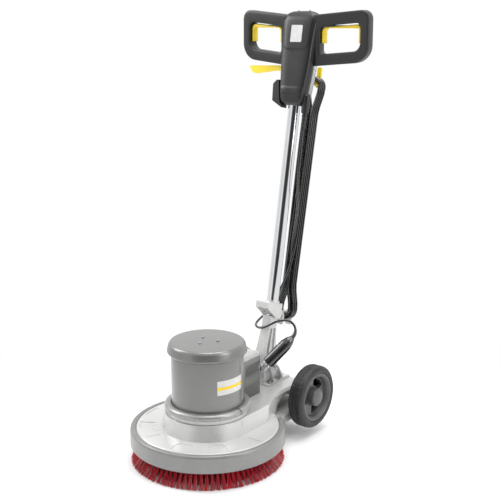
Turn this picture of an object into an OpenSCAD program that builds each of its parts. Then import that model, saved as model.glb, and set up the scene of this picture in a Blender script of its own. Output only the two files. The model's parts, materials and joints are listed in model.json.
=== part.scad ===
// Rotary floor machine: a single-disc scrubber with a planetary drive,
// transport wheels, a tilting handle with a twin-grip head, and a mains
// lead wound on two hooks behind the handle tube.
// Units are millimetres. +Z is up, the brush is at the front (-Y) and the
// operator stands behind (+Y).

/* [Deck] */
// Outside diameter of the bumper ring
bumper_d = 430; // [330:10:530]
// Height of the bumper ring's lower edge
bumper_z = 47; // [35:1:70]
// Height of the deck's flat top
deck_top = 96; // [85:1:110]
// Height of the raised casting's top
arm_top = 138; // [125:1:160]
// Rear end of the casting behind the brush axis
arm_rear = 345; // [300:5:400]

/* [Motor] */
// Outside radius of the motor sleeve
sleeve_r = 99.5; // [80:0.5:120]
// Height of the sleeve's top edge
sleeve_top = 306; // [260:2:340]
// Height of the motor cap
cap_h = 32; // [20:1:50]

/* [Drive] */
// Gear module
gear_m = 1.75; // [1.5:0.25:2]
// Teeth on the sun pinion
sun_n = 12; // [12:1:12]
// Teeth on each planet gear
planet_n = 36; // [36:1:36]
// Teeth in the ring gear
ring_n = 84; // [84:1:84]
// Flank clearance on each side of a tooth
backlash = 0.12; // [0.05:0.01:0.2]

/* [Brush] */
// Radius at the tips of the outer tufts
brush_r = 215; // [150:5:265]
// Radius of the brush plate
plate_r = 189; // [130:1:240]

/* [Wheels] */
// Outside radius of each tyre
tyre_r = 92.5; // [70:0.5:110]
// Width of each tyre
tyre_w = 47; // [30:1:60]
// Distance of the inner tyre face from the middle
tyre_in = 117; // [117:1:140]
// Axle height
axle_z = 113.5; // [100:0.5:125]
// Axle position behind the brush axis
axle_y = 305; // [300:1:320]

/* [Handle] */
// Backward lean of the tube at rest
lean = 10.34; // [5:0.1:20]
// Outside radius of the handle tube
tube_r = 17.5; // [14:0.5:20]
// Length from the foot to the top of the tube
tube_top = 930; // [800:10:1000]
// Radius of the arc slot around the pivot
arc_r = 36; // [30:1:36]
// Overall half-width of the grips
grip_x = 217; // [190:1:240]

/* [Mains lead] */
// Diameter of the lead
cord_d = 7; // [6:0.5:8]

/* [Hidden] */
$fn = 64;
e = 0.01;
br = bumper_d / 2;
frame_y = -165;
foot_y = 269.5;
foot_z = 189;
pivot_v = 18;
orbit = gear_m * (sun_n + planet_n) / 2;
alu = [0.80, 0.81, 0.82];
// Points of the lead in the handle's frame: down from the gland into the hank
top_route = [[41, -4, 698], [41, -4, 654], [41, -3, 609], [40, 1, 565], [38, 12, 522],
  [31, 28, 481], [22, 42, 440], [13, 53, 398], [8, 60, 355], [7, 62, 333]];
// and from the hank round the foot of the leg to the plug
foot_route = [[15, 63, 364], [15, 58, 334], [14, 53, 305], [9, 48, 275], [2, 44, 246],
  [-9, 40, 218], [-19, 36, 190], [-29, 28, 162], [-36, 10, 140], [-35, -16, 125],
  [-20, -39, 115], [9, -43, 118], [32, -33, 133], [56, -18, 145], [69, -11, 146],
  [82, -5, 141], [91, -2, 129], [94, -3, 115], [90, -7, 101]];
steel = [0.72, 0.73, 0.75];
grey = [0.48, 0.48, 0.48];
dark = [0.25, 0.25, 0.26];
black = [0.06, 0.06, 0.06];
yellow = [1.0, 0.86, 0.08];

// Whole machine frame, and the frame that leans with the handle.
module fr() translate([0, frame_y, 0]) children();
module hl() fr() translate([0, foot_y, foot_z]) rotate([-lean, 0, 0]) children();
// World position behind the brush axis and height of a point of the handle.
function wy(v, w) = foot_y + v * cos(lean) + w * sin(lean);
function wz(v, w) = foot_z - v * sin(lean) + w * cos(lean);

// A bar along X between two stations.
module xbar(x0, x1, r) translate([x0, 0, 0]) rotate([0, 90, 0]) cylinder(r = r, h = x1 - x0);
// A side outline (rear, up) given thickness across the machine.
module side(x0, x1) translate([x0, 0, 0]) rotate([90, 0, 90]) linear_extrude(x1 - x0) children();
// A front outline (across, up) given depth towards the rear.
module front(v0, v1) translate([0, v1, 0]) rotate([90, 0, 0]) linear_extrude(v1 - v0) children();

// ---------- gears ----------
// Involute point at radius q for base radius b, as an angle from the flank's foot.
function inv_a(b, q) = let (t = sqrt(max(0, q * q / b / b - 1))) t * 180 / PI - atan(t);
// One tooth outline: half angle at radius q.
function half_a(n, m, q, s) = let (p = n * m / 2, b = p * cos(25))
  90 / n + s * 180 / PI / p + inv_a(b, p) - inv_a(b, max(q, b));
function tooth_rs(lo, hi, k) = [for (i = [0 : k]) lo + (hi - lo) * i / k];
module gear2d(n, m, lo, hi, k, s) {
  rs = tooth_rs(lo, hi, k);
  polygon([for (i = [0 : n - 1]) for (j = [0 : 2 * k + 1])
    let (up = j <= k, q = up ? rs[j] : rs[2 * k + 1 - j], h = half_a(n, m, q, s),
      a = i * 360 / n + (up ? -h : h)) [q * cos(a), q * sin(a)]]);
}
module planet(i) color(steel) fr() rotate([0, 0, i * 120]) translate([orbit, 0, 106])
  difference() {
    linear_extrude(15) rotate([0, 0, 180 + 180 / planet_n]) gear2d(planet_n, gear_m,
      planet_n * gear_m / 2 - 1.93, planet_n * gear_m / 2 + 1.4, 3, -backlash);
    translate([0, 0, -1]) cylinder(r = 6.03, h = 20);
    translate([0, 0, 10]) difference() { cylinder(r = 24, h = 8); cylinder(r = 12, h = 8); }
  }
module planet_gear_1() planet(0);
module planet_gear_2() planet(1);
module planet_gear_3() planet(2);
module ring_gear() color(steel) fr() translate([0, 0, 105]) difference() {
  cylinder(r = 88, h = 18);
  translate([0, 0, -1]) linear_extrude(20) rotate([0, 0, 180 / ring_n]) gear2d(ring_n, gear_m,
    ring_n * gear_m / 2 - 1.4, ring_n * gear_m / 2 + 1.93, 2, backlash);
}

// ---------- brush ----------
module bristles() color([0.76, 0.07, 0.18]) fr() rotate_extrude($fn = 96)
  polygon([[120, 48], [plate_r - 2, 48], [plate_r + 14, 38], [brush_r, 0], [112, 0]]);
module brush_plate() color([0.12, 0.12, 0.13]) fr() difference() {
  translate([0, 0, 48]) cylinder(r = plate_r, h = 14, $fn = 96);
  translate([0, 0, 47]) cylinder(r = 40, h = 20);
  translate([0, 0, 56]) difference() {
    cylinder(r = plate_r - 12, h = 10, $fn = 96);
    cylinder(r = 90, h = 10);
  }
}
module brush_coupling() color(dark) fr() difference() {
  translate([0, 0, 62]) cylinder(r = 75, h = 14);
  translate([0, 0, 61]) cylinder(r = 46, h = 20);
  for (a = [30 : 120 : 270]) rotate([0, 0, a]) translate([36, -10, 60]) cube([22, 20, 22]);
}
module drive_hub() color(grey) fr() difference() {
  union() {
    translate([0, 0, 62]) cylinder(r = 45.7, h = 15);
    for (a = [30 : 120 : 270]) rotate([0, 0, a]) translate([30, -9.7, 63]) cube([27.5, 19.4, 12]);
  }
  translate([0, 0, 61]) cylinder(r = 15, h = 20);
}
module planet_carrier() color(steel) fr() {
  translate([0, 0, 61]) cylinder(r = 15, h = 38);
  translate([0, 0, 58]) cylinder(r = 24, h = 4);
  translate([0, 0, 51]) cylinder(r = 9, h = 8, $fn = 6);
  translate([0, 0, 98]) cylinder(r = 62, h = 7);
  for (a = [0 : 120 : 240]) rotate([0, 0, a]) translate([orbit, 0, 104]) cylinder(r = 6, h = 18);
}

// ---------- deck casting ----------
module output_bearing() color(steel) fr() rotate_extrude()
  polygon([[15.03, 84], [31, 84], [31, 96], [15.03, 96]]);
module gear_cover() color(alu) fr() difference() {
  translate([0, 0, 80]) cylinder(r = 60, h = 4);
  translate([0, 0, 79]) cylinder(r = 24, h = 6);
  for (a = [30 : 60 : 330]) rotate([0, 0, a]) translate([52, 0, 79]) cylinder(r = 2.5, h = 6);
}
module deck() color(alu) fr() difference() {
  union() {
    // skirt and disc
    rotate_extrude($fn = 96) polygon([[31, 84], [184, 84], [192, 76], [192, 60],
      [198, 60], [198, deck_top - 2.5], [195.5, deck_top], [31, deck_top]]);
    // round housing over the gears
    rotate_extrude($fn = 96) polygon([[68, 90], [130, 90], [129, 98], [118, arm_top],
      [68, arm_top]]);
    // straight-sided body running to the rear, with a drafted section
    intersection() {
      translate([0, 330, 0]) rotate([90, 0, 0]) linear_extrude(330)
        polygon([[-130, 84], [130, 84], [129, deck_top], [121, arm_top - 6],
          [116, arm_top], [-116, arm_top], [-121, arm_top - 6], [-129, deck_top]]);
      linear_extrude(200) polygon([[-130, 0], [130, 0], [130, 100], [118, 128], [88, 196],
        [-88, 196], [-118, 128], [-130, 100]]);
    }
    translate([0, arm_rear, 0]) rotate([90, 0, 0]) linear_extrude(arm_rear - 190)
      polygon([[-62, 60], [62, 60], [62, 122], [88, 124], [88, arm_top - 7],
        [81, arm_top], [-81, arm_top], [-88, arm_top - 7], [-88, 124], [-62, 122]]);
    // arch flanks leading down from the top to the shelf
    side(-88, 88) polygon([[185, arm_top - 7], [185, 70], [196, 76], [212, 108],
      [240, 125], [240, arm_top - 7]]);
    // low shelf beside the wheels
    translate([0, 0, 52]) linear_extrude(26) polygon([[-131, 148], [131, 148], [132, 178],
      [113, 208], [106, 335], [-106, 335], [-113, 208], [-132, 178]]);
  }
  // brush room
  translate([0, 0, 40]) cylinder(r = 192, h = 36, $fn = 96);
  translate([0, 0, 60]) cylinder(r1 = 200, r2 = 192, h = e);
  translate([0, 0, 75]) cylinder(r1 = 192, r2 = 183, h = 9, $fn = 96);
  // bearing seat and gear room
  translate([0, 0, 80]) cylinder(r = 31, h = 20);
  translate([0, 0, deck_top]) cylinder(r = 68, h = 60);
  translate([0, 0, 105]) cylinder(r = 88, h = 60);
  // room under the rear body
  translate([-48, 214, 40]) cube([96, 62, 86]);
  // axle bore and room for the spacers
  translate([0, axle_y, axle_z]) {
    xbar(-200, 200, 8);
    xbar(62, 120, 14.5);
    xbar(-120, -62, 14.5);
  }
  // shallow pads in the deck
  for (a = [-138 : 32 : -42]) rotate([0, 0, a + 0]) pad();
  for (a = [-10, -170]) rotate([0, 0, a]) pad();
}
module pad() translate([0, 0, deck_top - 1.4]) linear_extrude(10)
  polygon([[145, -20], [186, -28], [188, 0], [186, 28], [145, 20]]);
module bumper() color([0.56, 0.56, 0.56]) fr() rotate([0, 0, 132])
  rotate_extrude(angle = 276, $fn = 96) polygon([[198, bumper_z + 13.1], [199, bumper_z],
    [br - 2, bumper_z], [br, bumper_z + 3], [br, deck_top - 4], [br - 4, deck_top + 0.7],
    [199, deck_top + 0.7], [198, deck_top - 2]]);

// ---------- motor ----------
module lower_shield() color(alu) fr() difference() {
  union() {
    translate([0, 0, arm_top]) cylinder(r = 112, h = 12, $fn = 96);
    translate([0, 0, 150]) cylinder(r = sleeve_r, h = 12, $fn = 96);
  }
  translate([0, 0, 150]) difference() { cylinder(r = 90, h = 20); cylinder(r = 26, h = 20); }
  translate([0, 0, 140]) cylinder(r = 18, h = 30);
  translate([0, 0, 130]) cylinder(r = 10, h = 30);
}
module base_band() color([0.70, 0.71, 0.72]) fr() difference() {
  union() {
    rotate_extrude($fn = 96) polygon([[sleeve_r, 150], [117, 150], [119, 152.5], [119, 160],
      [116, 164], [111, 166.5], [sleeve_r, 167]]);
    translate([116, -7.5, 152.8]) cube([11, 15, 7]);
  }
  translate([90, -1.5, 140]) cube([50, 3, 40]);
  translate([123, 20, 156.5]) rotate([90, 0, 0]) cylinder(r = 2, h = 40);
}
module motor_sleeve() color(grey) fr() difference() {
  translate([0, 0, 162]) cylinder(r = sleeve_r, h = sleeve_top - 162, $fn = 96);
  translate([0, 0, 160]) cylinder(r = 97, h = 200, $fn = 96);
}
module motor_cap() color(grey) fr() difference() {
  rotate_extrude($fn = 96) polygon([[0, sleeve_top], [106, sleeve_top], [109.5, sleeve_top + 2],
    [110.6, sleeve_top + 6], [105.5, sleeve_top + cap_h - 7], [103, sleeve_top + cap_h - 2.5],
    [98, sleeve_top + cap_h], [0, sleeve_top + cap_h]]);
  translate([0, 0, sleeve_top - 1]) cylinder(r = 96, h = cap_h - 5, $fn = 96);
  for (a = [30, 150, 270]) rotate([0, 0, a]) translate([30, 0, 320]) cylinder(r = 2.5, h = 40);
}
module cap_screw_set() color(steel) fr() for (a = [30, 150, 270]) rotate([0, 0, a])
  translate([30, 0, 330]) { cylinder(r = 2.5, h = 8); translate([0, 0, 8]) cylinder(r = 4.5, h = 2.5); }
module upper_shield() color(alu) fr() difference() {
  translate([0, 0, 284]) cylinder(r = 97, h = 12, $fn = 96);
  translate([0, 0, 280]) cylinder(r = 18, h = 14);
  translate([0, 0, 280]) cylinder(r = 10, h = 30);
  for (a = [0 : 45 : 315]) rotate([0, 0, a]) translate([58, 0, 280]) cylinder(r = 14, h = 30);
}
module bearing(z0) color(steel) fr() translate([0, 0, z0]) difference() {
  cylinder(r = 18, h = 10);
  translate([0, 0, -1]) cylinder(r = 8.03, h = 20);
  translate([0, 0, 9]) difference() { cylinder(r = 15.5, h = 4); cylinder(r = 11, h = 4); }
}
module motor_bearings() {
  bearing(142);
  bearing(284);
}
module stator() color([0.45, 0.46, 0.48]) fr() difference() {
  translate([0, 0, 186]) cylinder(r = 97, h = 76, $fn = 96);
  translate([0, 0, 180]) cylinder(r = 52, h = 100);
  for (a = [0 : 15 : 345]) rotate([0, 0, a]) translate([50, -3.4, 180]) cube([34, 6.8, 100]);
}
module windings() color([0.72, 0.42, 0.20]) fr() union() {
  for (z = [170, 262.5]) translate([0, 0, z]) difference() {
    cylinder(r = 86, h = 15.5);
    translate([0, 0, -1]) cylinder(r = 58, h = 20);
  }
  for (a = [0 : 15 : 345]) rotate([0, 0, a]) translate([60, -2.8, 180]) cube([22, 5.6, 90]);
}
module rotor_core() color([0.55, 0.56, 0.58]) fr() difference() {
  translate([0, 0, 188]) cylinder(r = 51.4, h = 72);
  translate([0, 0, 180]) cylinder(r = 8, h = 100);
  for (a = [0 : 60 : 300]) rotate([0, 0, a]) translate([26, 0, 180]) cylinder(r = 6, h = 100);
}
module motor_shaft() color(steel) fr() union() {
  translate([0, 0, 106]) linear_extrude(15) rotate([0, 0, 0]) gear2d(sun_n, gear_m,
    sun_n * gear_m / 2 - 1.93, sun_n * gear_m / 2 + 1.4, 4, -backlash);
  translate([0, 0, 120]) cylinder(r = 8, h = 203);
}
module cooling_fan() color(dark) fr() difference() {
  union() {
    translate([0, 0, 302]) cylinder(r = 16, h = 20);
    translate([0, 0, 302]) cylinder(r = 84, h = 2.5);
    for (a = [0 : 40 : 320]) rotate([0, 0, a]) translate([14, -1.25, 302]) cube([68, 2.5, 19]);
  }
  translate([0, 0, 300]) cylinder(r = 8, h = 30);
}
module box2d(w, d, r) union() {
  square([w - 2 * r, d], center = true);
  square([w, d - 2 * r], center = true);
  for (x = [-1, 1], y = [-1, 1]) translate([x * (w / 2 - r), y * (d / 2 - r)]) circle(r = r, $fn = 32);
}
module near_motor() {
  translate([0, 0, 130]) cylinder(r = 119.5, h = 37.5, $fn = 96);
  translate([0, 0, 160]) cylinder(r = sleeve_r + 0.3, h = 200, $fn = 96);
}
module capacitor_box() color(grey) fr() difference() {
  translate([0, 146, arm_top]) linear_extrude(112) box2d(88, 102, 18);
  translate([0, 152, arm_top + 4]) linear_extrude(112) box2d(80, 84, 14);
  near_motor();
}
module box_lid() color([0.62, 0.62, 0.62]) fr() difference() {
  translate([0, 0, arm_top]) union() {
    translate([0, 146, 112]) linear_extrude(8) box2d(90, 104, 19);
    translate([0, 147, 120]) linear_extrude(3) box2d(84, 96, 16);
  }
  near_motor();
}
module capacitors() color([0.20, 0.20, 0.22]) fr() {
  translate([19, 158, arm_top + 4]) cylinder(r = 17.5, h = 92);
  translate([-19, 158, arm_top + 4]) cylinder(r = 17.5, h = 80);
}
module rating_label() color([0.93, 0.93, 0.90]) fr() rotate([0, 0, -35])
  rotate_extrude(angle = 51, $fn = 96) translate([sleeve_r, 215]) square([0.6, 40]);

// ---------- wheels ----------
module axle() color(steel) fr() translate([0, axle_y, axle_z]) {
  xbar(-160, 160, 8);
  xbar(62, 118.4, 14);
  xbar(-118.4, -62, 14);
}
module wheel_at(s) fr() translate([0, axle_y, axle_z]) scale([1, 1, 1])
  rotate([0, s > 0 ? 90 : -90, 0]) translate([0, 0, tyre_in]) children();
module wheel_hub() difference() {
  rotate_extrude() polygon([[8.04, 2], [24, 2], [24, 16], [56, 18], [58, 4], [70, 1],
    [72, 4], [72, 43], [70, 46], [66, 46.5], [60, 40], [56, 29], [28, 27], [26, 44],
    [22, 44], [22, 41], [8.04, 41]]);
  for (a = [0 : 120 : 240]) rotate([0, 0, a + 24]) translate([0, 0, -1]) linear_extrude(60)
    difference() {
      polygon([[0, 0], [70, -42], [90, 0], [70, 42]]);
      circle(r = 30);
      difference() { circle(r = 120); circle(r = 53); }
    }
}
module tyre() rotate_extrude($fn = 96) polygon([[72, 1], [76, 0], [84, 0.5], [90, 4],
  [tyre_r, 10], [tyre_r, 18], [tyre_r - 2, 19], [tyre_r - 2, 21], [tyre_r, 22],
  [tyre_r, tyre_w - 22], [tyre_r - 2, tyre_w - 21], [tyre_r - 2, tyre_w - 19],
  [tyre_r, tyre_w - 18], [tyre_r, tyre_w - 10], [90, tyre_w - 4], [84, tyre_w - 0.5],
  [76, tyre_w], [72, tyre_w - 1]]);
module hub_cap() translate([0, 0, 0]) rotate_extrude() polygon([[0, 44.2], [20, 44.2],
  [20, 44], [22, 44], [26, 44], [26, 45.5], [22, 49], [12, 50.5], [0, 51]]);
module wheel_hub_left() color(grey) wheel_at(-1) wheel_hub();
module wheel_hub_right() color(grey) wheel_at(1) wheel_hub();
module tyre_left() color(black) wheel_at(-1) tyre();
module tyre_right() color(black) wheel_at(1) tyre();
module hub_cap_left() color(dark) wheel_at(-1) hub_cap();
module hub_cap_right() color(dark) wheel_at(1) hub_cap();

// ---------- handle foot ----------
pv_y = wy(pivot_v, 0);
pv_z = wz(pivot_v, 0);
gd_y = wy(-pivot_v, 0);
gd_z = wz(-pivot_v, 0);
module deck_bracket() color(alu) fr() difference() {
  union() {
    translate([-37, 234, arm_top]) cube([74, 111, 6]);
    for (s = [-1, 1]) {
      side(s > 0 ? 15.2 : -21, s > 0 ? 21 : -15.2)
        polygon([[234, arm_top], [234, 182], [241, 199], [247, 203], [292, 197],
          [299, 190], [334, arm_top + 6], [334, arm_top]]);
      for (y = [264, 309]) translate([0, y, 0]) front(-2.5, 2.5)
        polygon([[s * 21, arm_top + 6], [s * 36, arm_top + 6], [s * 21, y < 280 ? 196 : 178]]);
    }
    translate([-21, 234, arm_top]) cube([42, 6, 42]);
  }
  translate([-15.2, 240, arm_top - 1]) cube([30.4, 96, 10]);
  translate([0, pv_y, pv_z]) xbar(-40, 40, 6);
  translate([0, gd_y, gd_z]) xbar(-40, 40, 5);
  for (s = [-1, 1], y = [252, 294]) translate([s * 29, y, arm_top - 1]) cylinder(r = 3.5, h = 10);
}
module bracket_bolt_set() color(steel) fr() for (s = [-1, 1], y = [252, 294])
  translate([s * 29, y, arm_top]) {
    cylinder(r = 3.5, h = 7);
    translate([0, 0, 6]) cylinder(r = 6.5, h = 1.6);
    translate([0, 0, 7]) cylinder(r = 5.6, h = 5.6, $fn = 6);
  }
// A pin with a pull ring at each end.
module ringed_pin(r) {
  xbar(-26, 26, r);
  for (s = [-1, 1]) translate([s * 27.2, 0, 0]) rotate([0, 90, 0]) translate([0, 0, -1.2])
    linear_extrude(2.4) difference() {
      union() { circle(r = 6.5); translate([0, -6.5]) square([9, 13]); translate([9, 0]) circle(r = 6.5); }
      union() { translate([3, 0]) circle(r = 3.8); translate([3, -3.8]) square([6, 7.6]); translate([9, 0]) circle(r = 3.8); }
    }
}
module hinge_pins() color(steel) fr() {
  translate([0, pv_y, pv_z]) { ringed_pin(6); xbar(-4.6, 4.6, 15); }
  translate([0, gd_y, gd_z]) ringed_pin(5);
}
// Side outline of the leg: sloping front, upright rear, round foot.
module leg_side() difference() {
  union() {
    polygon([[-20, 150], [-20, 118], [-40, 37], [-43, 16], [-30, 2], [pivot_v, 0],
      [pivot_v + 16.5, 0], [28, 40], [22, 70], [14, 118], [14, 150]]);
    translate([pivot_v, 0]) circle(r = 16.5);
    intersection() {
      translate([pivot_v, 0]) circle(r = arc_r + 9.5);
      polygon([[pivot_v, 20], [-60, 20], [-60, -30], [-22, -60], [pivot_v + 2, -60]]);
    }
  }
  translate([pivot_v, 0]) circle(r = 6.05);
  arc_slot();
}
module arc_slot() union() {
  intersection() {
    translate([pivot_v, 0]) difference() { circle(r = arc_r + 5.3); circle(r = arc_r - 5.3); }
    polygon([[pivot_v, 0], [-60, 0], [-60, -100], [pivot_v - 100 * cos(68), -100 * sin(68)]]);
  }
  translate([pivot_v - arc_r, 0]) circle(r = 5.3);
  translate([pivot_v - arc_r * cos(68), -arc_r * sin(68)]) circle(r = 5.3);
}
module handle_leg() color(alu) hl() difference() {
  union() {
    side(-14.5, 14.5) leg_side();
    // block with the ledge
    side(-22, 22) polygon([[-50, 175], [-50, 192], [-22, 192], [-22, 186], [22, 186],
      [22, 150], [14, 143], [-2, 143]]);
    translate([0, 0, 180]) cylinder(r = 21, h = 12);
  }
  // recessed panels in the sides of the leg
  for (s = [-1, 1]) side(s > 0 ? 11 : -20, s > 0 ? 20 : -11)
    polygon([[-14, 112], [-31, 40], [-22, 30], [-12, 34], [-6, 112]]);
  for (s = [-1, 1]) side(s > 0 ? 11 : -20, s > 0 ? 20 : -11)
    polygon([[-2, 112], [-7, 38], [12, 38], [10, 112]]);
  // tube socket, rod passage and drum slot
  translate([0, 0, 150]) cylinder(r = tube_r, h = 60);
  translate([0, 0, 20]) cylinder(r = 4.6, h = 140);
  translate([-5.2, -14, -60]) cube([10.4, 80, 112]);
  translate([-5.2, -60, -60]) cube([10.4, 60, 64]);
}
module tube() color([0.85, 0.86, 0.88]) hl() difference() {
  translate([0, 0, 150]) cylinder(r = tube_r, h = tube_top - 150);
  translate([0, 0, 149]) cylinder(r = tube_r - 2.5, h = 1000);
  // window for the release lever's fork
  translate([-14, 2, 862]) cube([28, 20, 26]);
}
module lower_hook() color(alu) hl() union() {
  translate([0, 22, 154.3]) rotate([-90, 0, 0]) cylinder(r = 6, h = 76);
  side(-9, 9) polygon([[93.5, 116], [100, 114], [100, 160], [93.5, 160]]);
  side(-12, 12) polygon([[22, 152], [22, 168], [28, 168], [46, 158], [52, 150],
    [52, 122], [45, 120], [45, 146], [38, 152]]);
}
module lock_rod() color(steel) hl() {
  translate([0, 0, 40]) cylinder(r = 4, h = 846);
  translate([0, 0, 878]) cylinder(r = 9, h = 5);
  difference() {
    side(-4.6, 4.6) polygon([[-6, 8], [-10, 18], [-10, 44], [10, 44], [14, 22], [14, 10]]);
    translate([0, pivot_v, 0]) xbar(-10, 10, 15.3);
  }
}

// ---------- handle head ----------
head_pts = [[33, 766], [38, 775], [41, 790], [44.5, 812], [47.5, 837], [52, 889], [55, 945],
  [59.5, 1005], [58, 1018], [50, 1027], [36, 1033.5], [14, 1036]];
function head_out(d) = [for (p = head_pts) [p[0] - d, min(max(p[1], 766 + d), 1036 - d)]];
module head_outline(d) polygon(concat(head_out(d),
  [for (i = [len(head_pts) - 1 : -1 : 0]) [-head_out(d)[i][0], head_out(d)[i][1]]]));
module head_profile(d) polygon([[d - 22, 766 + d], [d - 28, 773 + d], [d - 31.5, 786], [d - 32.5, 812],
  [d - 31.5, 900], [d - 30.5, 985], [d - 28, 1010], [d - 20, 1028 - d], [d - 8, 1035 - d],
  [14 - d, 1034 - d], [27 - d, 1024 - d], [32 - d, 1002], [32 - d, 812], [28 - d, 776],
  [20 - d, 766 + d]]);
module head_solid(d) intersection() {
  front(-60, 60) head_outline(d);
  side(-80, 80) head_profile(d);
}
module head_room() {
  head_solid(3.5);
  translate([0, 0, 750]) cylinder(r = tube_r, h = 30);
}
module head_front() color(dark) hl() difference() {
  intersection() { head_solid(0); translate([-100, -100, 700]) cube([200, 100, 400]); }
  head_room();
  // curved crease under the raised panel
  front(-60, -30) difference() {
    translate([0, 1034]) circle(r = 112);
    translate([0, 1034]) circle(r = 110);
    translate([-100, 1000]) square([200, 200]);
  }
  // seat of the badge plate
  translate([0, -29.85, 968]) rotate([90, 0, 0]) linear_extrude(5) box2d(38.2, 48.2, 3);
}
module head_rear() color([0.35, 0.35, 0.36]) hl() difference() {
  intersection() { head_solid(0); translate([-100, 0, 700]) cube([200, 100, 400]); }
  head_room();
  translate([-80, 12, 856]) cube([50, 40, 38]);
  translate([0, 20, 960]) rotate([-90, 0, 0]) cylinder(r = 9.1, h = 20);
  translate([0, 20, 840.7]) rotate([-90, 0, 0]) cylinder(r = 7.05, h = 20);
  for (w = [795, 1005], s = [-1, 1]) translate([s * 26, 20, w]) rotate([-90, 0, 0]) cylinder(r = 2, h = 20);
}
module head_screws() color(steel) hl() for (w = [795, 1005], s = [-1, 1])
  translate([s * 26, 22, w]) rotate([-90, 0, 0]) { cylinder(r = 2, h = 8); }
module socket_box() color(dark) hl() difference() {
  front(-24, 4) polygon([[-30, 757], [-65, 776], [-68, 824], [-57, 836], [-30, 838]]);
  head_solid(0);
}
module badge_plate() color([0.94, 0.94, 0.94]) hl() translate([0, -29.9, 968]) rotate([90, 0, 0])
  linear_extrude(1.6) box2d(38, 48, 3);
// Rounded ring outline of one grip, inside and outside, grown by d.
function arc_pts(cx, cy, r, a0, a1, k) = [for (i = [0 : k]) let (a = a0 + (a1 - a0) * i / k) [cx + r * cos(a), cy + r * sin(a)]];
module grip_out() polygon(concat([[20, 1190.7], [44, 1195.9]], arc_pts(grip_x - 30, 1183.7, 28, 95, 0, 6),
  [[grip_x, 1142]], arc_pts(grip_x - 44, 1110.5, 44, 0, -85, 8), [[40, 1054.5], [20, 1064.7]]));
module grip_in(d) polygon(concat(arc_pts(grip_x - 43, 1160.6, 16 - d, 95, 0, 6),
  arc_pts(grip_x - 49, 1121, 22 - d, 0, -85, 6), arc_pts(78, 1103.9, 12 - d, -85, -180, 6),
  arc_pts(80, 1154.1, 14 - d, 180, 95, 6)));
module grip_frame(s) fr() translate([0, 440, 0]) mirror([s < 0 ? 1 : 0, 0, 0])
  rotate([0, 0, 6]) children();
module head_world() translate([0, foot_y, foot_z]) rotate([-lean, 0, 0]) head_solid(0);
module grip(s) difference() {
  grip_frame(s) difference() {
    front(-17, 17) grip_out();
    front(-30, 30) grip_in(0);
  }
  fr() head_world();
}
module grip_left() color(dark) grip(-1);
module grip_right() color(dark) grip(1);
// Switch lever: an inverted U lining the rear of the opening.
module switch_lever(s) grip_frame(s) difference() {
  front(2, 15) difference() {
    grip_in(1.5);
    polygon(concat(arc_pts(grip_x - 47, 1149, 12, 90, 0, 4), [[grip_x - 35, 1080], [77, 1080]],
      arc_pts(88, 1150, 11, 180, 90, 4)));
    translate([0, 1000]) square([300, 118]);
  }
  translate([0, 8.5, 1167]) xbar(0, 300, 3.05);
}
module switch_lever_left() color(yellow) switch_lever(-1);
module switch_lever_right() color(yellow) switch_lever(1);
module lever_pin_pair() color(steel) for (s = [-1, 1]) grip_frame(s) intersection() {
  translate([0, 8.5, 1167]) xbar(0, 300, 3);
  front(-30, 30) grip_in(0);
}
module micro_switches() color(black) hl() for (s = [-1, 1])
  translate([s * 32 - 6, -22, 985]) { cube([12, 20, 28]); }
module lockout_button() color(yellow) hl() translate([0, 20, 960]) rotate([-90, 0, 0])
  union() { cylinder(r = 9, h = 17); }
module tilt_lever() color(yellow) hl() difference() {
  union() {
    front(17.8, 28.2) polygon([[34, 866], [34, 880], [-40, 880], [-92, 882], [-189, 879], [-191, 875],
      [-177, 858], [-166, 856.5], [-92, 867.5], [-40, 866]]);
    translate([-12, -7, 870]) cube([24, 35, 7]);
  }
  translate([28, 40, 873]) rotate([90, 0, 0]) cylinder(r = 4.05, h = 60);
  translate([-4.8, -20, 860]) cube([9.6, 26, 30]);
}
module head_pins() {
  lever_pin_pair();
  color(steel) hl() translate([28, 12, 873]) rotate([-90, 0, 0]) cylinder(r = 4, h = 16.4);
}
module upper_hook() color(yellow) hl() union() {
  translate([0, 24, 840.7]) rotate([-90, 0, 0]) cylinder(r = 6, h = 88);
  translate([0, 24, 840.7]) rotate([-90, 0, 0]) cylinder(r = 7, h = 8.4);
  side(-7, 7) polygon([[109, 832], [115.5, 832], [115.5, 888], [109, 891]]);
}

// ---------- mains lead ----------
module cord_boot() color(black) hl() {
  difference() {
    translate([41, -4, 746]) cylinder(r1 = 11, r2 = 13, h = 56);
    head_solid(0);
  }
  translate([41, -4, 698]) rotate_extrude($fn = 32)
    polygon([[0, 0], [5, 0], [5.2, 6], [6.5, 7], [6.5, 12], [5.4, 13], [5.4, 18], [7, 19],
      [7, 24], [5.8, 25], [5.8, 30], [7.6, 31], [7.6, 36], [6.4, 37], [6.4, 41], [9, 42],
      [9, 49.5], [0, 49.5]]);
}
// Hank outline: a long loop of runs that opens round each hook.
hank_t = 830;
hank_b = 165;
module cord_hank() color(black) hl() translate([0, 0, hank_t + 2.1]) rotate([-1.38, 0, 0])
  translate([0, 0, -hank_t]) front(71, 107.4) difference() {
  union() {
    translate([0, hank_t]) circle(r = 33);
    translate([0, hank_b]) circle(r = 32);
    polygon([for (s = [1, -1]) for (p = s > 0 ? hank_side : hank_back) [s * p[0], p[1]]]);
  }
  for (w = [hank_t, hank_b]) translate([0, w]) circle(r = 17.7);
}
hank_side = [[30, hank_t - 8], [25, hank_t - 48], [20.5, hank_t - 90], [19.5, hank_t - 140],
  [19.5, hank_b + 140], [20.5, hank_b + 90], [24, hank_b + 48], [30, hank_b + 8]];
hank_back = [for (i = [len(hank_side) - 1 : -1 : 0]) hank_side[i]];
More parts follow.
